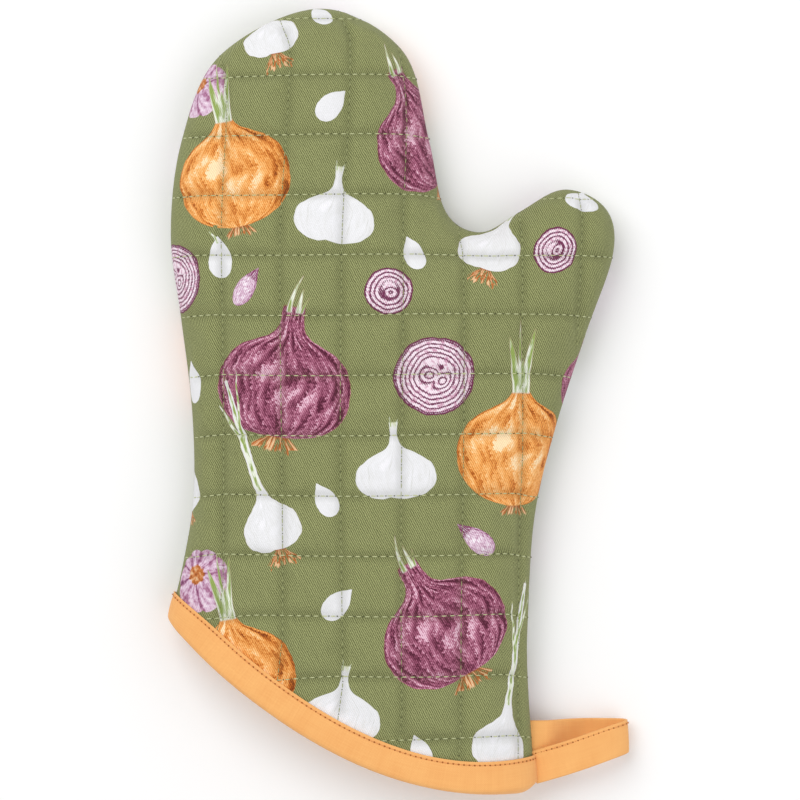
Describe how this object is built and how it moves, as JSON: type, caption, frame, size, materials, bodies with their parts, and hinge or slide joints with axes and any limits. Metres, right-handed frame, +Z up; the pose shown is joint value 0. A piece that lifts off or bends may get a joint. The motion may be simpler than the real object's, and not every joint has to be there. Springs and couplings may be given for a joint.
{
  "type": "oven mitt",
  "caption": "Quilted oven mitt: padded back and palm sewn round the edge, separate thumb, bound slanting cuff, open mouth and a hanging loop sewn into the side seam.",
  "frame": {"origin": "middle of the underside, on the surface that the mitt lies on", "axes": "+Z up from the palm to the back of the hand, +Y from the cuff to the fingertips, +X towards the thumb"},
  "size_m": [0.1972, 0.3323, 0.0394],
  "materials": {
    "printed_twill": "printed cotton twill, olive ground",
    "wadding": "needled cotton wadding",
    "lining": "plain unbleached cotton",
    "binding_tape": "plain orange cotton tape",
    "thread": "spun sewing thread"
  },
  "bodies": {
    "mitt": {"back_shell": "printed_twill", "back_wadding": "wadding", "back_lining": "lining", "back_quilting_rows": "thread", "back_quilting_columns": "thread", "palm_shell": "printed_twill", "palm_wadding": "wadding", "palm_lining": "lining", "palm_quilting_rows": "thread", "palm_quilting_columns": "thread", "seam_allowance": "printed_twill", "seam_stitching": "thread", "seam_overlock": "thread", "cuff_binding": "binding_tape", "cuff_topstitch": "binding_tape"},
    "loop": {"hanging_loop": "binding_tape", "loop_topstitch": "binding_tape"}
  },
  "joints": [
    {"name": "loop_flop", "type": "hinge", "parent": "mitt", "child": "loop", "pos_m": [0.061, -0.1493, 0.014], "axis": [0, -1, 0], "range_deg": [0, 95]}
  ]
}
